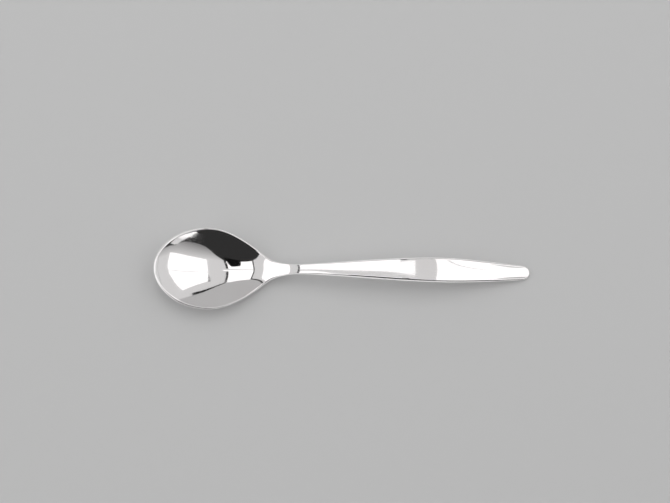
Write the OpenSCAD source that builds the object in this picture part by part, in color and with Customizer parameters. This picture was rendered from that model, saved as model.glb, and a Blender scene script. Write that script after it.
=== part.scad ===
// Demitasse spoon of polished silver: an egg-shaped bowl with its stem, and a long leaf-shaped handle,
// hard-soldered together at a scarf across the neck and polished flush.
// +X runs from the bowl to the end of the handle, +Y across, +Z up. The spoon lies on the plane z = 0,
// touching it with the belly of the bowl and the end of the handle. Sizes are in millimetres.

/* [Overall] */
// Length from the tip of the bowl to the end of the handle
spoon_l = 108; // [100:0.5:116]

/* [Bowl] */
// Length of the bowl, from its tip to where the rim runs into the stem
bowl_l = 33.4; // [31:0.1:36]
// Width of the bowl across its rim
bowl_w = 23.4; // [21:0.1:26]
// Height of the rim over the table at the tip of the bowl
rim_z = 7.8; // [7:0.1:8.6]
// Wall at the deepest point of the bowl
bowl_t = 0.95; // [0.8:0.05:1.1]
// Thickness of the half-round rim along the sides of the bowl
rim_t = 0.8; // [0.6:0.05:1]

/* [Stem] */
// Distance from the tip of the bowl to the soldered joint
joint_x = 42; // [41:0.5:44]
// Width of the stem at the joint
stem_w = 2.8; // [2.4:0.1:3.4]
// Thickness of the stem at the joint
stem_t = 2.2; // [1.9:0.1:2.6]

/* [Handle] */
// Width of the handle at its widest
handle_w = 7.04; // [6:0.02:8]
// Height of the top of the handle's arch over the table
arch_z = 9.3; // [8.5:0.05:10]
// How far the long edges lie below the middle of the handle near its end
crown_z = 0.3; // [0.1:0.05:0.4]
// Thickness at the very end of the handle
end_t = 0.9; // [0.8:0.05:1]
// Reach of the rounding on the long edges of the handle
edge_r = 0.6; // [0.4:0.05:0.7]

/* [Solder seam] */
// Thickness of the solder film
seam_t = 0.1; // [0.06:0.02:0.2]
// Run of the scarf along the stem, from the underside to the top
scarf_l = 3.2; // [1:0.1:4]

/* [Hidden] */

// Each station is a cross-section of the spoon: distance from the tip, half-width, height of the edge,
// height of the middle, thickness in the middle, thickness at the edge, reach of the edge's rounding,
// and how round the section is. A small roundness gives a bowl that is rounder at the bottom than up its
// walls, and a large one gives an even curve.

// Bowl stations as shares of the bowl's length, of its half-width, of the rise of the edge and of the
// middle from the deepest point to the tip, of the wall, of the rim's thickness and of the reach of its
// rounding, and the roundness
bowl_shares = [
    [0,     0,      1,     1,      1,    1.25, 0.7,  1.2],
    [0.045, 0.424,  0.975, 0.869,  1,    1.22, 0.65, 1.2],
    [0.18,  0.79,   0.862, 0.564,  1,    1.1,  0.55, 1.2],
    [0.36,  0.974,  0.794, 0.265,  1,    1,    0.46, 1.06],
    [0.54,  0.981,  0.705, 0.072,  1,    1,    0.43, 0.8],
    [0.71,  0.809,  0.538, 0.0004, 1,    1,    0.42, 0.61],
    [0.87,  0.524,  0.343, 0.084,  1.1,  1.1,  0.45, 0.5],
    [1,     0.254,  0.372, 0.3155, 1.55, 1.9,  0.5,  0.7]
];
rise = rim_z - bowl_t;
bowl_stations = [for (s = bowl_shares) [
    bowl_l * s[0],
    bowl_w / 2 * s[1],
    bowl_t + rise * s[2],
    bowl_t + rise * s[3],
    bowl_t * s[4],
    rim_t * s[5],
    rim_t * s[6],
    s[7]
]];

// Stem stations: the stem leaves the bowl with a faint groove on top, and is slightly crowned at the
// joint. Each has its crown, the drop from the middle of the top to the edge, and its edge's thickness.
stem_along = 0.48;
stem_rise = 0.656;
stem_flare = 1.21;
stem_groove = 0.06;
stem_edge_t = 0.74 * stem_t;
stem_edge_r = 0.4 * edge_r;
stem_round = 1.5;
joint_rise = 0.728;
joint_crown = 0.05;
joint_edge_t = 0.85 * stem_t;
handle_round = 3;
function arch_height(share) = end_t + (arch_z - end_t) * share;
function strip(x, half_w, z, crown, t, side_t, edge, roundness) =
    [x, half_w, z - crown, z, t, side_t, edge, roundness];
stem_stations = [
    strip(bowl_l + (joint_x - bowl_l) * stem_along, stem_w / 2 * stem_flare, bowl_t + rise * stem_rise,
        -stem_groove, 0.88 * stem_t, stem_edge_t, stem_edge_r, stem_round),
    strip(joint_x, stem_w / 2, arch_height(joint_rise), joint_crown, stem_t, joint_edge_t, stem_edge_r,
        handle_round)
];

// Handle stations as shares of the way from the joint to the end, of the handle's half-width, of the
// arch's height, of the crown, of the thickness and of the edge's rounding. The underside is crowned less
// than the top.
under_crown = 0.5;
handle_shares = [
    [0.152, 0.556, 0.906, 0.1,  0.92, 0.75],
    [0.364, 0.834, 1,     0.1,  0.85, 1],
    [0.598, 1,     0.886, 0.14, 0.69, 1],
    [0.788, 0.861, 0.506, 0.8,  0.54, 1],
    [0.932, 0.654, 0.147, 1,    0.35, 0.85],
    [0.985, 0.48,  0.031, 0.7,  0.19, 0.6],
    [1,     0,     0.004, 0,    0,    0.5]
];
handle_stations = [for (s = handle_shares) let (crown = crown_z * s[3], t = end_t + (stem_t - end_t) * s[4])
    strip(joint_x + (spoon_l - joint_x) * s[0], handle_w / 2 * s[1], arch_height(s[2]), crown, t,
        t - crown * (1 + under_crown), edge_r * s[5], handle_round)];

stations = concat(bowl_stations, stem_stations, handle_stations);
last = len(stations) - 1;
joint_at = len(bowl_stations) + 1;

// Smooth curve through the stations: a cubic B-spline. Past both ends the stations are mirrored, with
// the half-width changing its sign, so that the tip of the bowl and the end of the handle are round.
passes = 24;
function mirrored(row) = [for (k = [0 : len(row) - 1]) k == 1 ? -row[k] : row[k]];
function row(c, i) = i < 0 ? mirrored(c[1]) : i > last ? mirrored(c[last - 1]) : c[i];
function relaxed(c, n) = n == 0 ? c :
    relaxed([for (i = [0 : last]) (6 * stations[i] - row(c, i - 1) - row(c, i + 1)) / 4], n - 1);
control = relaxed(stations, passes);
function span(t) = min(floor(t), last - 1);
function mixed(i, w) =
    row(control, i - 1) * w[0] + row(control, i) * w[1] + row(control, i + 1) * w[2] + row(control, i + 2) * w[3];
function station(t) = let (i = span(t), f = t - i) mixed(i, [
    pow(1 - f, 3) / 6,
    (3 * pow(f, 3) - 6 * f * f + 4) / 6,
    (-3 * pow(f, 3) + 3 * f * f + 3 * f + 1) / 6,
    pow(f, 3) / 6
]);
function station_change(t) = let (i = span(t), f = t - i) mixed(i, [
    -(1 - f) * (1 - f) / 2,
    (3 * f * f - 4 * f) / 2,
    (-3 * f * f + 2 * f + 1) / 2,
    f * f / 2
]);

// Points round one section, which bends from its middle to its edge as a hyperbola. They are counted from
// the middle of the top over the edge to the middle of the underside, then back up the other side. Near
// the joint a section leans: its top is taken further along the spoon than its underside, so that the
// ring at the joint is the scarf. Side tells which face of the solder film the ring belongs to: -1 for the
// bowl, 1 for the handle.
face_steps = 10;
edge_steps = 6;
half_steps = 2 * face_steps + edge_steps;
ring_n = 2 * half_steps;
lean = scarf_l / 2 / station_change(joint_at)[0];
function near_joint(t) = let (d = min(abs(t - joint_at), 1)) 1 - d * d * (3 - 2 * d);
function bend(v, k) = (sqrt(k * k + v * v) - k) / (sqrt(k * k + 1) - k);
function edge_angle(j) = 90 - 180 / edge_steps * min(max(j - face_steps, 0), edge_steps);
function half_point(t, j, side) = let (
    v = min(j, half_steps - j, face_steps) / face_steps,
    a = edge_angle(j),
    near = near_joint(t),
    at = t + near * lean * sin(a),
    s = station(at),
    d = station_change(at),
    inward = s[6] * (1 - cos(a)) / norm([d[0], d[1]]),
    y = s[1] - inward * d[0],
    bent = bend(v, s[7]),
    top = s[3] + (s[2] - s[3]) * bent - s[5] / 2 * (1 - sin(a)),
    below = s[3] - s[4] + (s[2] - s[5] - s[3] + s[4]) * bent
) [
    s[0] + inward * d[1] - spoon_l / 2 + near * side * seam_t / 2,
    y * v,
    j < face_steps + edge_steps ? top : below
];
function ring(t, side) = let (half = [for (j = [0 : half_steps]) half_point(t, j, side)])
    concat(half, [for (j = [half_steps - 1 : -1 : 1]) [half[j][0], -half[j][1], half[j][2]]]);

// A closed skin over a row of rings. Where an end of the row is a pole, its ring folds up into the arc
// of the rounded edge, and elsewhere the end is a flat face.
function folded(j) = min(max(min(j, ring_n - j), face_steps), face_steps + edge_steps);
function corner(i, j, pole) = ring_n * i + (i == pole ? folded(j % ring_n) : j % ring_n);
function quad(a, b, c, d) = [[a, b, c], [a, c, d]];
function end_face(i) = [for (j = [0 : half_steps - 1])
    each quad(corner(i, j), corner(i, ring_n - j), corner(i, ring_n - j - 1), corner(i, j + 1))];
function turned(faces) = [for (f = faces) [f[2], f[1], f[0]]];
function real_faces(faces) = [for (f = faces) if (f[0] != f[1] && f[1] != f[2] && f[2] != f[0]) f];
module skin(rings, pole = -1) {
    top = len(rings) - 1;
    sides = [for (i = [0 : top - 1], j = [0 : ring_n - 1]) each quad(
        corner(i, j, pole), corner(i, j + 1, pole), corner(i + 1, j + 1, pole), corner(i + 1, j, pole))];
    ends = concat(pole == 0 ? [] : end_face(0), pole == top ? [] : turned(end_face(top)));
    polyhedron(points = [for (r = rings) each r], faces = real_faces(concat(sides, ends)), convexity = 6);
}

// Rings to each stretch between two stations
stretch = 6;
bowl_rings = stretch * joint_at;
handle_rings = stretch * (last - joint_at);

module bowl() {
    color("gainsboro") skin([for (i = [0 : bowl_rings]) ring(i / stretch, -1)], pole = 0);
}

module solder_seam() {
    color("silver") skin([ring(joint_at, -1), ring(joint_at, 1)]);
}

module handle() {
    color("gainsboro")
        skin([for (i = [0 : handle_rings]) ring(joint_at + i / stretch, 1)], pole = handle_rings);
}

bowl();
solder_seam();
handle();
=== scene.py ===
"""Demitasse spoon of polished silver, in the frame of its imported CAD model, with its studio set."""
import math

import bpy
from mathutils import Matrix, Vector


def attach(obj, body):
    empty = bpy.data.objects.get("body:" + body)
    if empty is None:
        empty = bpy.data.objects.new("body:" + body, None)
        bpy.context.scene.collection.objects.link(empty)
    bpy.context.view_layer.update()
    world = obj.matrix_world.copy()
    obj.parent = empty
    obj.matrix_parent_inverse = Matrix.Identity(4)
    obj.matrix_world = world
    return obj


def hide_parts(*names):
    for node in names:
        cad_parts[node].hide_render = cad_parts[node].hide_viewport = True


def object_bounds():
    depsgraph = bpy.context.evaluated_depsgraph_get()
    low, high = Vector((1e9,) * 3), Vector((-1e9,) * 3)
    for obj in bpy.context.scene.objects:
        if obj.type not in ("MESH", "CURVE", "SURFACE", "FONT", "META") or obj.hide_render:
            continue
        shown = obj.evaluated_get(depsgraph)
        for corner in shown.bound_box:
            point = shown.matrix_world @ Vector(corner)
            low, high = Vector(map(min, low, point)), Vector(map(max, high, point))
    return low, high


bl_info = {
    "name": "Demitasse spoon",
    "version": (1, 0, 0),
    "blender": (4, 5, 0),
    "location": "3D View > Sidebar > Spoon",
    "description": "Builds a silver demitasse spoon and the set that it lies on",
    "category": "Object",
}

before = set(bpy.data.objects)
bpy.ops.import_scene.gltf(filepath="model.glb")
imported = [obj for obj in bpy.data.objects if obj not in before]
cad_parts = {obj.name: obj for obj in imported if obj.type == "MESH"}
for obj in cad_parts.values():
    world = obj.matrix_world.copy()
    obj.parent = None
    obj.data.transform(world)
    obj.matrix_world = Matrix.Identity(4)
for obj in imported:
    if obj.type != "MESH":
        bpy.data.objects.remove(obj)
CAD_BOX = [list(corner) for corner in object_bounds()]

MM = 0.001
SPOON_LENGTH = CAD_BOX[1][0] - CAD_BOX[0][0]

# Stations of the bowl: shares of its length, of its half-width, of the rise of the edge and of the middle
# from the deepest point to the tip, of the wall, of the rim's thickness and of the reach of its rounding,
# and how round the section is: a small value gives a bowl that is rounder at the bottom than up its walls
BOWL_SHARES = (
    (0, 0, 1, 1, 1, 1.25, 0.7, 1.2),
    (0.045, 0.424, 0.975, 0.869, 1, 1.22, 0.65, 1.2),
    (0.18, 0.79, 0.862, 0.564, 1, 1.1, 0.55, 1.2),
    (0.36, 0.974, 0.794, 0.265, 1, 1, 0.46, 1.06),
    (0.54, 0.981, 0.705, 0.072, 1, 1, 0.43, 0.8),
    (0.71, 0.809, 0.538, 0.0004, 1, 1, 0.42, 0.61),
    (0.87, 0.524, 0.343, 0.084, 1.1, 1.1, 0.45, 0.5),
    (1, 0.254, 0.372, 0.3155, 1.55, 1.9, 0.5, 0.7),
)

# The stem, about halfway from the bowl to the joint: how far along and how high it is, how much wider than
# at the joint, the faint groove on top, its thickness and its edge's, the rounding of its edges and how
# round its section is. At the joint it has a height, a crown and an edge of its own.
STEM_ALONG = 0.48
STEM_RISE = 0.656
STEM_FLARE = 1.21
STEM_GROOVE = 0.06 * MM
STEM_THICKNESS = 0.88
STEM_EDGE = 0.74
STEM_EDGE_ROUND = 0.4
STEM_ROUND = 1.5
JOINT_RISE = 0.728
JOINT_CROWN = 0.05 * MM
JOINT_EDGE = 0.85

# Stations of the handle: shares of the way from the joint to the end, of its half-width, of the arch's
# height, of the crown, of the thickness and of the rounding of its edges. The underside is crowned less.
HANDLE_SHARES = (
    (0.152, 0.556, 0.906, 0.1, 0.92, 0.75),
    (0.364, 0.834, 1, 0.1, 0.85, 1),
    (0.598, 1, 0.886, 0.14, 0.69, 1),
    (0.788, 0.861, 0.506, 0.8, 0.54, 1),
    (0.932, 0.654, 0.147, 1, 0.35, 0.85),
    (0.985, 0.48, 0.031, 0.7, 0.19, 0.6),
    (1, 0, 0.004, 0, 0, 0.5),
)
HANDLE_ROUND = 3.0
UNDER_CROWN = 0.5

JOINT_STATION = len(BOWL_SHARES) + 1
LAST_STATION = JOINT_STATION + len(HANDLE_SHARES)

# Steps of the skin: rings to each stretch between two stations, points across a face and round an edge
STRETCH_RINGS = 24
FACE_STEPS = 26
EDGE_STEPS = 12
FACE_AND_EDGE = FACE_STEPS + EDGE_STEPS
HALF_STEPS = FACE_AND_EDGE + FACE_STEPS
RING_POINTS = 2 * HALF_STEPS + 1

# The curve through the stations: how often it is relaxed, how finely it is drawn, the mirrored rows past
# each of its ends, and how far to either side of a place its run is measured
SPLINE_PASSES = 40
GUIDE_RESOLUTION = 256
GHOST_ROWS = 4
BESIDE = 1 / 32

# Points of the skin that lie closer together than this are one point
WELD = 0.001 * MM

# The loft's name, and the kinds of node that are used again and again
LOFT = "Spoon loft"
MATH = "ShaderNodeMath"
RANGE = "ShaderNodeMapRange"
MIX = "ShaderNodeMix"


def size(name, millimetres, description):
    """A length that a user may change, given in millimetres."""
    return bpy.props.FloatProperty(
        name=name, default=millimetres * MM, description=description, min=0.0, precision=5,
        unit="LENGTH", subtype="DISTANCE")


class SpoonSizes(bpy.types.PropertyGroup):
    """Driving dimensions of the spoon"""

    length: size("Length", SPOON_LENGTH / MM, "From the tip of the bowl to the end of the handle")
    bowl_length: size("Bowl length", 33.4, "From the bowl's tip to where its rim runs into the stem")
    bowl_width: size("Bowl width", 23.4, "Across the rim")
    rim_height: size("Rim height", 7.8, "Height of the rim over the table at the tip")
    bowl_wall: size("Bowl wall", 0.95, "Wall at the deepest point")
    rim: size("Rim", 0.8, "Thickness of the half-round rim")
    joint: size("Joint", 42.0, "From the tip of the bowl to the soldered joint")
    stem_width: size("Stem width", 2.8, "Width of the stem at the joint")
    stem_thickness: size("Stem thickness", 2.2, "Thickness of the stem at the joint")
    handle_width: size("Handle width", 7.04, "Width of the handle at its widest")
    arch_height: size("Arch height", 9.3, "Height of the top of the arch over the table")
    crown: size("Crown", 0.3, "Drop from the middle of the handle to its long edges, near the end")
    end_thickness: size("End thickness", 0.9, "Thickness at the very end of the handle")
    edge_rounding: size("Edge rounding", 0.6, "Reach of the rounding on the handle's edges")
    solder: size("Solder", 0.1, "Thickness of the solder film")
    scarf: size("Scarf", 3.2, "Run of the scarf along the stem")


def linear(hex_colour):
    """An sRGB hex value as linear red, green, blue and alpha."""
    parts = [int(hex_colour[i:i + 2], 16) / 255 for i in (1, 3, 5)]
    return tuple(c / 12.92 if c <= 0.04045 else ((c + 0.055) / 1.055) ** 2.4 for c in parts) + (1.0,)


def colour(name, hex_colour, description):
    """A colour that a user may change, given as an sRGB hex value."""
    return bpy.props.FloatVectorProperty(
        name=name, default=linear(hex_colour), description=description, subtype="COLOR", size=4,
        min=0.0, max=1.0)


class SpoonFinish(bpy.types.PropertyGroup):
    """Colours and polish of the silver and of the set"""

    silver: colour("Silver", "#F7F5F5", "Freshly polished sterling silver")
    tarnish: colour("Tarnish", "#EFE9E8", "The faint warm cast that silver takes between polishings")
    solder: colour("Solder", "#F4F2EF", "Hard solder, a little greyer than the silver")
    floor: colour("Floor", "#BABABA", "Matt pale grey tabletop")
    # A painted reflection: the tabletop's colour as polished metal alone sees it, paler than the board, so
    # that the rim and lower edges show bright
    floor_painted_reflection: colour("Floor in the metal", "#F2F2F2", "The tabletop as polished metal shows it")
    studio: colour("Studio", "#8C8C8C", "The room round the set")
    polish: bpy.props.FloatProperty(
        name="Polish", default=0.06, min=0.0, max=1.0, subtype="FACTOR",
        description="Roughness of the polished silver")


def add(tree, kind, *inputs, **settings):
    """Adds a node with its settings.

    Each input, in order, is a value, a socket, or a node whose result it takes. None leaves an input alone.
    """
    node = tree.nodes.new(kind)
    for name, value in settings.items():
        setattr(node, name, value)
    for socket, value in zip([s for s in node.inputs if s.enabled], inputs):
        if isinstance(value, bpy.types.Node):
            value = next(s for s in value.outputs if s.enabled)
        if isinstance(value, bpy.types.NodeSocket):
            tree.links.new(value, socket)
        elif value is not None:
            socket.default_value = value
    return node


def put(name, data):
    """Puts a mesh, a light or a camera into the scene as an object."""
    item = bpy.data.objects.new(name, data)
    bpy.context.scene.collection.objects.link(item)
    return item


def empty_material(name):
    """A material that has no nodes yet, and its node tree."""
    material = bpy.data.materials.new(name)
    material.use_nodes = True
    material.node_tree.nodes.clear()
    return material, material.node_tree


def stations(sizes):
    """Rows across the spoon.

    Each has its distance along, half-width, heights of edge and middle, thicknesses of middle and edge,
    the reach of the edge's rounding and how round the section is.
    """
    tip = -sizes.length / 2
    rise = sizes.rim_height - sizes.bowl_wall
    rows = []
    for along, across, edge, middle, wall, rim, reach, roundness in BOWL_SHARES:
        rows.append((
            tip + sizes.bowl_length * along, sizes.bowl_width / 2 * across,
            sizes.bowl_wall + rise * edge, sizes.bowl_wall + rise * middle,
            sizes.bowl_wall * wall, sizes.rim * rim, sizes.rim * reach, roundness))

    def arch(share):
        return sizes.end_thickness + (sizes.arch_height - sizes.end_thickness) * share

    def strip(along, half_width, height, crown, thickness, edge, reach, roundness):
        rounding = sizes.edge_rounding * reach
        rows.append((tip + along, half_width, height - crown, height, thickness, edge, rounding, roundness))

    strip(
        sizes.bowl_length + (sizes.joint - sizes.bowl_length) * STEM_ALONG,
        sizes.stem_width / 2 * STEM_FLARE, sizes.bowl_wall + rise * STEM_RISE, -STEM_GROOVE,
        sizes.stem_thickness * STEM_THICKNESS, sizes.stem_thickness * STEM_EDGE,
        STEM_EDGE_ROUND, STEM_ROUND)
    strip(
        sizes.joint, sizes.stem_width / 2, arch(JOINT_RISE), JOINT_CROWN,
        sizes.stem_thickness, sizes.stem_thickness * JOINT_EDGE, STEM_EDGE_ROUND, HANDLE_ROUND)
    for along, across, height, crowned, share, reach in HANDLE_SHARES:
        crown = sizes.crown * crowned
        thickness = sizes.end_thickness + (sizes.stem_thickness - sizes.end_thickness) * share
        strip(
            sizes.joint + (sizes.length - sizes.joint) * along, sizes.handle_width / 2 * across,
            arch(height), crown, thickness, thickness - crown * (1 + UNDER_CROWN), reach, HANDLE_ROUND)
    return [Vector(row) for row in rows]


def control_rows(rows):
    """Control rows of the cubic B-spline through the stations, with mirrored rows past each end.

    Mirrored rows change the sign of the half-width, so both ends of the spoon are round.
    """
    def mirrored(row):
        return Vector([-value if k == 1 else value for k, value in enumerate(row)])

    control = [row.copy() for row in rows]
    for _ in range(SPLINE_PASSES):
        padded = [mirrored(control[1]), *control, mirrored(control[-2])]
        control = [(6 * row - padded[i] - padded[i + 2]) / 4 for i, row in enumerate(rows)]
    before = [mirrored(control[i]) for i in range(GHOST_ROWS, 0, -1)]
    after = [mirrored(control[-1 - i]) for i in range(1, GHOST_ROWS + 1)]
    return before + control + after


def joint_pace(sizes):
    """How far along the spoon one station lies from the next at the joint."""
    rows = control_rows(stations(sizes))
    joint = GHOST_ROWS + JOINT_STATION
    return (rows[joint + 1][0] - rows[joint - 1][0]) / 2


def guide_mesh(sizes):
    """A chain of the control rows. Its points lie one unit apart, so length along it counts stations."""
    rows = control_rows(stations(sizes))
    mesh = bpy.data.meshes.new("guide")
    mesh.from_pydata([(i, 0, 0) for i in range(len(rows))], [(i, i + 1) for i in range(len(rows) - 1)], [])
    for name, columns in (("plan", (0, 1, 6)), ("section", (2, 3, 4)), ("edge", (5, 7))):
        values = mesh.attributes.new(name, "FLOAT_VECTOR", "POINT")
        for point, row in zip(values.data, rows):
            point.vector = [row[k] for k in columns] + [0.0] * (3 - len(columns))
    return mesh


def loft_tree():
    """Geometry nodes that skin the stations of a guide chain with the spoon's section.

    The skin is a grid with a row of points for each ring round the spoon. They are counted from the middle
    of the top over one edge to the underside and back up over the other. Rings before the first and past
    the last one close the ends: all their points lie in the middle of the section.
    """
    tree = bpy.data.node_groups.new(LOFT, "GeometryNodeTree")
    tree.is_modifier = True
    tree.interface.new_socket("Geometry", in_out="INPUT", socket_type="NodeSocketGeometry")
    for name, kind in (
            ("Rings", "Int"), ("First ring", "Int"), ("Last ring", "Int"), ("First station", "Float"),
            ("Last station", "Float"), ("Joint station", "Float"), ("Lean", "Float"),
            ("Material", "Material")):
        tree.interface.new_socket(name, in_out="INPUT", socket_type="NodeSocket" + kind)
    tree.interface.new_socket("Geometry", in_out="OUTPUT", socket_type="NodeSocketGeometry")
    given = add(tree, "NodeGroupInput").outputs

    # The guide: a smooth curve through the stations
    guide = add(tree, "GeometryNodeMeshToCurve", given["Geometry"])
    guide = add(tree, "GeometryNodeCurveSplineType", guide, spline_type="NURBS")
    guide = add(tree, "GeometryNodeSetSplineResolution", guide, True, GUIDE_RESOLUTION)

    grid = add(tree, "GeometryNodeMeshGrid", 1.0, 1.0, given["Rings"], RING_POINTS)
    index = add(tree, "GeometryNodeInputIndex")

    # Faces between the first and the last ring are smooth, and those that close an end are flat
    row = add(tree, MATH, index, RING_POINTS - 1, operation="DIVIDE")
    row = add(tree, MATH, row, operation="FLOOR")
    closed_before = add(tree, MATH, row, given["First ring"], operation="LESS_THAN")
    rounded = add(tree, MATH, row, given["Last ring"], operation="LESS_THAN")
    rounded = add(tree, MATH, rounded, closed_before, operation="SUBTRACT")
    grid = add(tree, "GeometryNodeSetShadeSmooth", grid, True, rounded, domain="FACE")

    # The ring of each point of the grid, and its place round it
    ring = add(tree, MATH, index, RING_POINTS, operation="DIVIDE")
    ring = add(tree, MATH, ring, operation="FLOOR")
    point = add(tree, MATH, index, RING_POINTS, operation="MODULO")

    # Across the section from the middle, 0, to the edge, 1, and the angle round the edge
    fold = add(tree, MATH, point, HALF_STEPS, operation="PINGPONG")
    side = add(tree, MATH, HALF_STEPS, point, operation="SUBTRACT")
    side = add(tree, MATH, side, operation="SIGN")
    far = add(tree, MATH, HALF_STEPS, fold, operation="SUBTRACT")
    across = add(tree, MATH, fold, far, operation="MINIMUM")
    across = add(tree, RANGE, across, 0, FACE_STEPS, 0, 1)
    angle = add(tree, RANGE, fold, FACE_STEPS, FACE_AND_EDGE, math.pi / 2, -math.pi / 2)
    sine = add(tree, MATH, angle, operation="SINE")
    under = add(tree, MATH, fold, FACE_AND_EDGE - 0.5, operation="GREATER_THAN")

    # The station of the ring, which leans near the joint unless the ring closes an end
    station = add(
        tree, RANGE, ring, given["First ring"], given["Last ring"],
        given["First station"], given["Last station"])
    before = add(tree, MATH, ring, given["First ring"], operation="LESS_THAN")
    after = add(tree, MATH, ring, given["Last ring"], operation="GREATER_THAN")
    closing = add(tree, MATH, before, after, operation="MAXIMUM")
    opened = add(tree, MATH, 1.0, closing, operation="SUBTRACT")
    away = add(tree, MATH, station, given["Joint station"], operation="SUBTRACT")
    away = add(tree, MATH, away, operation="ABSOLUTE")
    lean = add(tree, RANGE, away, 0.0, 1.0, given["Lean"], 0.0, interpolation_type="SMOOTHSTEP")
    lean = add(tree, MATH, lean, opened, operation="MULTIPLY")
    at = add(tree, MATH, lean, sine, station, operation="MULTIPLY_ADD")

    # What the guide holds there, and on both sides of it
    ahead = add(tree, MATH, at, BESIDE, operation="ADD")
    behind = add(tree, MATH, at, BESIDE, operation="SUBTRACT")
    plan, section, edge, plan_ahead, plan_behind = [
        add(tree, "ShaderNodeSeparateXYZ", add(
            tree, "GeometryNodeSampleCurve", guide,
            add(tree, "GeometryNodeInputNamedAttribute", name, data_type="FLOAT_VECTOR"), place,
            mode="LENGTH", data_type="FLOAT_VECTOR")).outputs
        for name, place in (("plan", at), ("section", at), ("edge", at), ("plan", ahead), ("plan", behind))]
    along, half_width, reach = plan["X"], plan["Y"], plan["Z"]
    edge_z, middle_z, middle_t = section["X"], section["Y"], section["Z"]
    edge_t, roundness = edge["X"], edge["Y"]

    # Which way the outline runs
    run_x = add(tree, MATH, plan_ahead["X"], plan_behind["X"], operation="SUBTRACT")
    run_y = add(tree, MATH, plan_ahead["Y"], plan_behind["Y"], operation="SUBTRACT")
    run = add(tree, MATH, run_x, run_x, operation="MULTIPLY")
    run = add(tree, MATH, run_y, run_y, run, operation="MULTIPLY_ADD")
    run = add(tree, MATH, run, operation="SQRT")

    # The edge is rounded inwards from the outline, square to it
    inset = add(tree, MATH, angle, operation="COSINE")
    inset = add(tree, MATH, 1.0, inset, operation="SUBTRACT")
    inset = add(tree, MATH, inset, reach, operation="MULTIPLY")
    inset = add(tree, MATH, inset, run, operation="DIVIDE")
    x = add(tree, MATH, inset, run_y, operation="MULTIPLY")
    x = add(tree, MATH, x, opened, along, operation="MULTIPLY_ADD")
    y = add(tree, MATH, inset, run_x, operation="MULTIPLY")
    y = add(tree, MATH, half_width, y, operation="SUBTRACT")
    y = add(tree, MATH, y, across, operation="MULTIPLY")
    y = add(tree, MATH, y, side, operation="MULTIPLY")
    y = add(tree, MATH, y, opened, operation="MULTIPLY")

    # The section bends from its middle to its edge as a hyperbola
    deep = add(tree, MATH, roundness, roundness, operation="MULTIPLY")
    bent = add(tree, MATH, across, across, deep, operation="MULTIPLY_ADD")
    bent = add(tree, MATH, bent, operation="SQRT")
    bent = add(tree, MATH, bent, roundness, operation="SUBTRACT")
    widest = add(tree, MATH, deep, 1.0, operation="ADD")
    widest = add(tree, MATH, widest, operation="SQRT")
    widest = add(tree, MATH, widest, roundness, operation="SUBTRACT")
    bent = add(tree, MATH, bent, widest, operation="DIVIDE")

    # Heights of the top and round the edge, of the underside, and of the middle that an end closes to
    top = add(tree, MIX, bent, middle_z, edge_z)
    drop = add(tree, MATH, 1.0, sine, operation="SUBTRACT")
    drop = add(tree, MATH, drop, edge_t, operation="MULTIPLY")
    top = add(tree, MATH, drop, -0.5, top, operation="MULTIPLY_ADD")
    base = add(tree, MATH, middle_z, middle_t, operation="SUBTRACT")
    rim_base = add(tree, MATH, edge_z, edge_t, operation="SUBTRACT")
    below = add(tree, MIX, bent, base, rim_base)
    z = add(tree, "GeometryNodeSwitch", under, top, below, input_type="FLOAT")
    centre = add(tree, MIX, 0.5, base, middle_z)
    z = add(tree, "GeometryNodeSwitch", closing, z, centre, input_type="FLOAT")

    # The skin is welded where rings meet. Edges of its flat faces are sharp, so no shading runs over them.
    spot = add(tree, "ShaderNodeCombineXYZ", x, y, z)
    skin = add(tree, "GeometryNodeSetPosition", grid, True, spot)
    skin = add(tree, "GeometryNodeMergeByDistance", skin, True, WELD)
    flat = add(tree, "GeometryNodeInputNamedAttribute", "sharp_face", data_type="BOOLEAN")
    skin = add(
        tree, "GeometryNodeStoreNamedAttribute", skin, True, "sharp_edge", flat,
        data_type="BOOLEAN", domain="EDGE")
    skin = add(tree, "GeometryNodeRealizeInstances", skin)
    skin = add(tree, "GeometryNodeSetMaterial", skin, True, given["Material"])
    add(tree, "NodeGroupOutput", skin)
    return tree


def loft(name, material, first, last, first_caps=0, last_caps=0):
    """One piece of the spoon: runs the loft between two stations and keeps its result as a plain mesh.

    Caps are rings that close an end. The tip of the bowl and the end of the handle close by themselves.
    """
    sizes = bpy.context.scene.spoon_sizes
    tree = bpy.data.node_groups.get(LOFT) or loft_tree()
    maker = put(name + "_guide", guide_mesh(sizes))
    modifier = maker.modifiers.new("Loft", "NODES")
    modifier.node_group = tree
    steps = max(round(STRETCH_RINGS * (last - first)), 1)
    values = {
        "Rings": first_caps + steps + 1 + last_caps,
        "First ring": first_caps,
        "Last ring": first_caps + steps,
        "First station": GHOST_ROWS + first,
        "Last station": GHOST_ROWS + last,
        "Joint station": float(GHOST_ROWS + JOINT_STATION),
        "Lean": sizes.scarf / 2 / joint_pace(sizes),
        "Material": material,
    }
    for item in tree.interface.items_tree:
        if item.item_type == "SOCKET" and item.in_out == "INPUT" and item.name in values:
            modifier[item.identifier] = values[item.name]
    depsgraph = bpy.context.evaluated_depsgraph_get()
    mesh = bpy.data.meshes.new_from_object(maker.evaluated_get(depsgraph))
    bpy.data.objects.remove(maker)
    mesh.name = name
    return put(name, mesh)


# Marks on the silver: their sizes, how detailed the noise of each is and which span of it counts, and how
# much of the tarnish there is at most
TARNISH_PATCH = 12 * MM
TARNISH_DETAIL = 3.0
TARNISH_SPAN = (0.35, 0.75)
TARNISH_MOST = 0.35
HAIR_LENGTH = 9 * MM
HAIR_WIDTH = 0.15 * MM
HAIR_DETAIL = 2.0
HAIR_SPAN = (0.45, 0.8)
WAVE_LENGTH = 8 * MM
WAVE_HEIGHT = 0.006 * MM
WAVE_DETAIL = 1.0

# How rough the silver is between its scratches and in them, as shares of its polish
BETWEEN_HAIRS = 0.6
IN_HAIRS = 2.2

# How metallic a metal is, and a paint
METAL = 1.0
PAINT = 0.0


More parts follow.
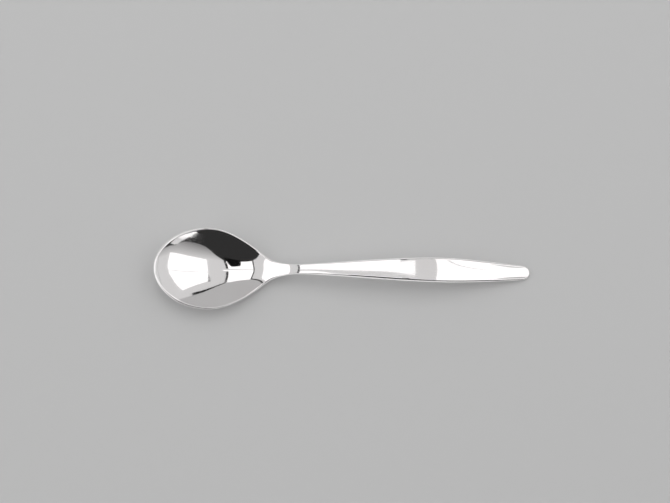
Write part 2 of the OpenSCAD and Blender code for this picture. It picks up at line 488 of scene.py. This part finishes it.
def silver_material(name, clean, tarnish, polish):
    """Hand-polished sterling silver, a bright mirror that wiping scratches and a faint warm cast soften."""
    material, tree = empty_material(name)
    spot = add(tree, "ShaderNodeTexCoord").outputs["Object"]

    # The cast of tarnish gathers in soft patches
    patches = add(tree, "ShaderNodeTexNoise", spot, 1 / TARNISH_PATCH, TARNISH_DETAIL)
    cast = add(tree, RANGE, patches, *TARNISH_SPAN, 0.0, TARNISH_MOST)
    tint = add(tree, MIX, cast, clean, tarnish, data_type="RGBA")

    # Wiping scratches run along the spoon as fine hairs, drawn coarser than real ones so that they show
    hair = (1 / HAIR_LENGTH, 1 / HAIR_WIDTH, 1 / HAIR_WIDTH)
    stretched = add(tree, "ShaderNodeMapping", spot, None, None, hair)
    hairs = add(tree, "ShaderNodeTexNoise", stretched, 1.0, HAIR_DETAIL)
    rough = add(tree, RANGE, hairs, *HAIR_SPAN, polish * BETWEEN_HAIRS, polish * IN_HAIRS)

    # Slow, very shallow waves are left by the planishing hammer
    waves = add(tree, "ShaderNodeTexNoise", spot, 1 / WAVE_LENGTH, WAVE_DETAIL)
    relief = add(tree, "ShaderNodeBump", 1.0, WAVE_HEIGHT, None, waves)
    silver = add(tree, "ShaderNodeBsdfPrincipled", tint, METAL, rough, None, None, relief)
    add(tree, "ShaderNodeOutputMaterial", silver)
    return material


def polished_silver():
    """The finish that bowl and handle share."""
    finish = bpy.context.scene.spoon_finish
    name = "Polished sterling silver"
    made = bpy.data.materials.get(name)
    return made or silver_material(name, finish.silver, finish.tarnish, finish.polish)


def solder_share(sizes):
    """Half of the solder film's thickness, as a share of the way from one station to the next."""
    return sizes.solder / 2 / joint_pace(sizes)


def keep(piece, node):
    """Fastens a finished piece to the frame in place of its CAD node."""
    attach(piece, "root")
    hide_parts(node)


class SPOON_OT_bowl(bpy.types.Operator):
    """Make the bowl with its rim and the stem that rises out of it"""

    bl_idname = "spoon.bowl"
    bl_label = "Bowl"

    def execute(self, context):
        stop = JOINT_STATION - solder_share(context.scene.spoon_sizes)
        piece = loft("spoon_bowl", polished_silver(), 0.0, stop, last_caps=1)
        keep(piece, "bowl")
        return {"FINISHED"}


class SPOON_OT_handle(bpy.types.Operator):
    """Make the arched, leaf-shaped handle"""

    bl_idname = "spoon.handle"
    bl_label = "Handle"

    def execute(self, context):
        start = JOINT_STATION + solder_share(context.scene.spoon_sizes)
        piece = loft("spoon_handle", polished_silver(), start, float(LAST_STATION), first_caps=1)
        keep(piece, "handle")
        return {"FINISHED"}


class SPOON_OT_solder_seam(bpy.types.Operator):
    """Make the film of hard solder in the scarf"""

    bl_idname = "spoon.solder_seam"
    bl_label = "Solder seam"

    def execute(self, context):
        finish = context.scene.spoon_finish
        half = solder_share(context.scene.spoon_sizes)
        material = silver_material(
            "Hard silver solder, polished flush", finish.solder, finish.tarnish, finish.polish)
        start = JOINT_STATION - half
        stop = JOINT_STATION + half
        piece = loft("spoon_solder_seam", material, start, stop, first_caps=1, last_caps=1)
        keep(piece, "solder_seam")
        return {"FINISHED"}


# The set, in metres. The spoon mirrors everything over it, so the set is a shallow tent of panels that hang
# a metre up, with its roof just above them.
CEILING = 1.0
ROOF = 1.03
EDGE_HEIGHT = CEILING + 0.02
SHADE_HEIGHT = CEILING - 0.03
STRIP_HEIGHT = CEILING - 0.05
WALL_HEIGHT = 1.9
CLOTH_LOW = 0.1
CLOTH_HIGH = 1.1
FLOOR_HALF = 2.5
FLOOR_ROUGHNESS = 0.7
WHITE = (1.0, 1.0, 1.0, 1.0)

# Where the walls, the black cloth and the edges of the roof are
WALL_LEFT = -3.3
WALL_RIGHT = 2.0
WALL_BACK = 1.7
WALL_FRONT = -1.6
CLOTH_FRONT = -1.4
ROOF_LEFT = -3.2
ROOF_RIGHT = 1.9
ROOF_BACK = 1.4
ROOF_FRONT = -1.5

# The front edge of the roof is slack, and its back edge runs away to the right. In front on the right it
# falls into shade, which ends at the black cloth.
FRONT_EDGE = ((0.12, -0.41), (-0.24, -0.5), (-0.43, -0.62), (-0.58, -0.7), (-0.66, -0.75))
BACK_EDGE = ((0.07, 0.95), (0.18, 1.06), (0.3, 1.21), (0.42, 1.34), (0.56, 1.4))
SHADE_EDGE = (
    (0.12, -0.41), (0.22, -0.6), (0.29, -0.8), (0.34, -0.88), (0.41, -0.91), (0.48, -0.9), (0.55, -0.87),
    (0.66, -0.8), (0.76, -0.74), (0.9, -0.68), (ROOF_RIGHT, -0.68))

# The camera looks down steeply from the front. What it shows is as wide as its frame at the spoon.
CAMERA_DISTANCE = 0.9
CAMERA_ELEVATION = math.radians(84)
CAMERA_ROLL = math.radians(0.5)
FRAME_WIDTH = 192.2 * MM
SENSOR_WIDTH = 36.0
CLIP_START = 0.01
AIM = Vector((-2.15 * MM, 5.2 * MM, 6.0 * MM))

# The key light hangs behind the spoon
KEY_PLACE = Vector((0.0, 0.3, 0.8))
KEY_SIZE = 0.5
KEY_POWER = 0.9


def glow(name, level, mirrored=None, fade=None):
    """A lit card: how much light it sends to the table, and how bright polished metal shows it.

    A fade gives two places along Y and the brightness that the metal shows at each.
    """
    material, tree = empty_material(name)
    if fade:
        place = add(tree, "ShaderNodeSeparateXYZ", add(tree, "ShaderNodeTexCoord").outputs["Object"])
        mirrored = add(tree, RANGE, place.outputs["Y"], *fade)
    if mirrored is not None:
        ray = add(tree, "ShaderNodeLightPath").outputs["Is Glossy Ray"]
        level = add(tree, RANGE, ray, 0.0, 1.0, level, mirrored)
    light = add(tree, "ShaderNodeEmission", WHITE, level)
    add(tree, "ShaderNodeOutputMaterial", light)
    return material


def card(name, corners, material):
    """A flat card of the set, which the camera itself looks through."""
    mesh = bpy.data.meshes.new(name)
    mesh.from_pydata(corners, [], [tuple(range(len(corners)))])
    mesh.materials.append(material)
    item = put(name, mesh)
    item.visible_camera = False


def overhead(name, corners, material, height=CEILING):
    """A level card over the spoon. Its corners are given for a height of one metre over the table."""
    card(name, [(x * height, y * height, height) for x, y in corners], material)


def oblong(name, x0, x1, y0, y1, material):
    """A level oblong card over the spoon."""
    overhead(name, ((x0, y0), (x0, y1), (x1, y1), (x1, y0)), material)


def upright(name, start, stop, low, high, material):
    """An upright card between two places on the table."""
    card(name, [(*start, low), (*stop, low), (*stop, high), (*start, high)], material)


class SPOON_OT_stage(bpy.types.Operator):
    """Make the tabletop, the lit tent over it and the camera"""

    bl_idname = "spoon.stage"
    bl_label = "Stage"

    def execute(self, context):
        scene = context.scene
        scene.view_settings.view_transform = "Standard"
        self.table(scene)
        self.studio(scene)
        self.tent()
        self.key()
        self.camera(scene)
        return {"FINISHED"}

    def table(self, scene):
        """The tabletop, a board with matt paint: even and pale, with no shine."""
        material, tree = empty_material("Matt painted board")

        # A painted reflection: polished metal is shown the board paler than it is, which paints the rim and
        # the lower edges bright
        ray = add(tree, "ShaderNodeLightPath").outputs["Is Glossy Ray"]
        finish = scene.spoon_finish
        tint = add(tree, MIX, ray, finish.floor, finish.floor_painted_reflection, data_type="RGBA")
        paint = add(tree, "ShaderNodeBsdfPrincipled", tint, PAINT, FLOOR_ROUGHNESS)
        add(tree, "ShaderNodeOutputMaterial", paint)
        corners = [(x * FLOOR_HALF, y * FLOOR_HALF, 0.0) for x, y in ((-1, -1), (1, -1), (1, 1), (-1, 1))]
        mesh = bpy.data.meshes.new("tabletop")
        mesh.from_pydata(corners, [], [(0, 1, 2, 3)])
        mesh.materials.append(material)
        board = put("tabletop", mesh)

    def studio(self, scene):
        """The room round the set, an even grey."""
        world = bpy.data.worlds.new("Studio")
        world.use_nodes = True
        world.node_tree.nodes.clear()
        room = add(world.node_tree, "ShaderNodeBackground", scene.spoon_finish.studio, 1.0)
        add(world.node_tree, "ShaderNodeOutputWorld", room)
        scene.world = world

    def tent(self):
        """Everything that the silver mirrors: lit panels, their frames, the tent's cloth and black cloth."""
        white = glow("Lit panel", level=1.65, mirrored=1.25)
        pale = glow("Tent cloth", level=0.65, mirrored=0.67)
        falling = glow("Tent cloth, falling into shade", level=0.4, fade=(-0.9, -0.45, 0.24, 0.62))
        wall = glow("Back wall", level=0.7, mirrored=0.47)
        side = glow("Side wall", level=0.55, mirrored=1.0)
        dark = glow("Black cloth", level=0.3, mirrored=0.03)
        black = glow("Black frame", level=0.005)
        strip = glow("Strip light", level=0.5, fade=(-0.92, -0.8, 1.4, 0.72))
        self.roof(pale, falling, black)
        self.middle_panel(white, black)
        self.side_panels(white, black)
        self.walls(wall, pale, side)
        self.black_cloth(dark, strip)

    def roof(self, pale, falling, black):
        """The roof of the tent, with a black hem along its back edge."""
        overhead("roof", (
            (ROOF_LEFT, ROOF_FRONT), (ROOF_LEFT, ROOF_BACK), (-0.97, 1.1), (-0.48, 0.96), *BACK_EDGE,
            (ROOF_RIGHT, ROOF_BACK), (ROOF_RIGHT, -0.41), *FRONT_EDGE, (-0.7, ROOF_FRONT)), pale, ROOF)
        overhead("roof_front_right", (*SHADE_EDGE, (ROOF_RIGHT, -0.41)), falling, ROOF)
        inner_edge = ((0.58, 1.26), (0.44, 1.22), (0.31, 1.12), (0.19, 1.0), (0.08, 0.9))
        overhead("roof_edge_right", BACK_EDGE + inner_edge, black, EDGE_HEIGHT)
        left_edge = ((-0.97, 1.1), (-0.48, 0.96), (-0.48, 0.89), (-0.97, 1.03))
        overhead("roof_edge_left", left_edge, black, EDGE_HEIGHT)

    def middle_panel(self, white, black):
        """The panel over the spoon: two sheets with a slit between, a frame at each side and a shade."""
        overhead("panel_middle_back", ((-0.48, 0.08), (-0.48, 0.96), (0.06, 0.95), (0.09, 0.08)), white)
        overhead("panel_middle_front", ((-0.48, -0.63), (-0.48, 0.02), (0.09, 0.02), (0.1, -0.42)), white)
        oblong("panel_middle_lip", 0.09, 0.18, 0.08, 0.13, white)
        overhead("frame_right_front", ((0.1, -0.42), (0.09, 0.0), (0.13, 0.0), (0.14, -0.42)), black)
        overhead("frame_right_back", ((0.09, 0.2), (0.06, 0.95), (0.1, 0.95), (0.13, 0.2)), black)
        oblong("frame_left", -0.52, -0.48, -0.65, 0.96, black)
        overhead("camera_shade", (
            (0.11, -0.6), (0.07, -0.28), (0.04, -0.17), (0.02, -0.14), (-0.04, -0.16), (-0.16, -0.22),
            (-0.2, -0.44), (-0.21, -0.6)), black, SHADE_HEIGHT)

    def side_panels(self, white, black):
        """The panels to the right, in two sheets, and to the left."""
        overhead("panel_right_front", ((0.37, -0.36), (0.37, 0.21), (1.08, 0.21), (1.11, -0.47)), white)
        overhead("panel_right_back", (
            (0.37, 0.23), (0.36, 0.7), (0.75, 1.06), (0.98, 0.73), (1.07, 0.4), (1.08, 0.23)), white)
        overhead("frame_panel_right", ((0.37, 0.3), (0.36, 0.72), (0.33, 0.72)), black)
        oblong("panel_left", ROOF_LEFT, -0.97, -0.9, 0.96, white)

    def walls(self, wall, pale, side):
        """The walls of the tent."""
        upright("wall_back", (WALL_LEFT, WALL_BACK), (WALL_RIGHT, WALL_BACK), 0.0, WALL_HEIGHT, wall)
        upright("wall_right", (WALL_RIGHT, CLOTH_FRONT), (WALL_RIGHT, WALL_BACK), 0.0, ROOF, pale)
        upright("wall_left", (WALL_LEFT, WALL_FRONT), (WALL_LEFT, WALL_BACK), 0.0, ROOF, side)
        upright("wall_front", (WALL_LEFT, WALL_FRONT), (-0.95, WALL_FRONT), 0.0, ROOF, side)

    def black_cloth(self, dark, strip):
        """The black cloth in front, and the strip light that hangs before it."""
        upright("cloth_front", (-0.72, CLOTH_FRONT), (WALL_RIGHT, CLOTH_FRONT), CLOTH_LOW, CLOTH_HIGH, dark)
        overhead("cloth_over", (
            *reversed(FRONT_EDGE), *SHADE_EDGE[1:], (ROOF_RIGHT, CLOTH_FRONT), (-0.7, CLOTH_FRONT)),
            dark, ROOF)
        overhead("strip_light", (
            (1.16, -0.74), (0.78, -0.87), (0.62, -0.96), (0.45, -1.15), (0.39, -1.28), (0.36, -1.27),
            (0.47, -1.05), (0.65, -0.84), (0.81, -0.71), (0.95, -0.69)), strip, STRIP_HEIGHT)

    def key(self):
        """A soft light from behind, which throws the spoon's shadow towards the camera."""
        data = bpy.data.lights.new("key", "AREA")
        data.energy = KEY_POWER
        data.size = KEY_SIZE
        lamp = put("key", data)
        lamp.location = KEY_PLACE
        lamp.rotation_euler = KEY_PLACE.to_track_quat("Z", "Y").to_euler()
        lamp.visible_camera = False
        lamp.visible_glossy = False

    def camera(self, scene):
        """The camera, almost straight over the spoon."""
        data = bpy.data.cameras.new("camera")
        data.sensor_width = SENSOR_WIDTH
        data.lens = SENSOR_WIDTH * CAMERA_DISTANCE / FRAME_WIDTH
        data.clip_start = CLIP_START
        eye = put("camera", data)
        back = Vector((0, -math.cos(CAMERA_ELEVATION), math.sin(CAMERA_ELEVATION)))
        turn = back.to_track_quat("Z", "Y").to_matrix().to_4x4()
        roll = Matrix.Rotation(CAMERA_ROLL, 4, "Z")
        eye.matrix_world = Matrix.Translation(AIM + back * CAMERA_DISTANCE) @ turn @ roll
        scene.camera = eye


class SPOON_PT_sidebar(bpy.types.Panel):
    """The spoon's pieces, sizes and finish in the sidebar"""

    bl_idname = "SPOON_PT_sidebar"
    bl_label = "Demitasse spoon"
    bl_space_type = "VIEW_3D"
    bl_region_type = "UI"
    bl_category = "Spoon"

    def draw(self, context):
        for operator in OPERATORS:
            self.layout.operator(operator.bl_idname)
        for group in (context.scene.spoon_sizes, context.scene.spoon_finish):
            for name in group.__annotations__:
                self.layout.prop(group, name)


OPERATORS = (SPOON_OT_bowl, SPOON_OT_handle, SPOON_OT_solder_seam, SPOON_OT_stage)
CLASSES = (SpoonSizes, SpoonFinish, *OPERATORS, SPOON_PT_sidebar)


def register():
    for item in CLASSES:
        bpy.utils.register_class(item)
    bpy.types.Scene.spoon_sizes = bpy.props.PointerProperty(type=SpoonSizes)
    bpy.types.Scene.spoon_finish = bpy.props.PointerProperty(type=SpoonFinish)


def unregister():
    del bpy.types.Scene.spoon_finish
    del bpy.types.Scene.spoon_sizes
    for item in reversed(CLASSES):
        bpy.utils.unregister_class(item)


def main():
    """Builds the spoon and its set."""
    register()
    bpy.ops.spoon.bowl()
    bpy.ops.spoon.handle()
    bpy.ops.spoon.solder_seam()
    bpy.ops.spoon.stage()
    bpy.context.view_layer.update()


if __name__ == "__main__":
    main()
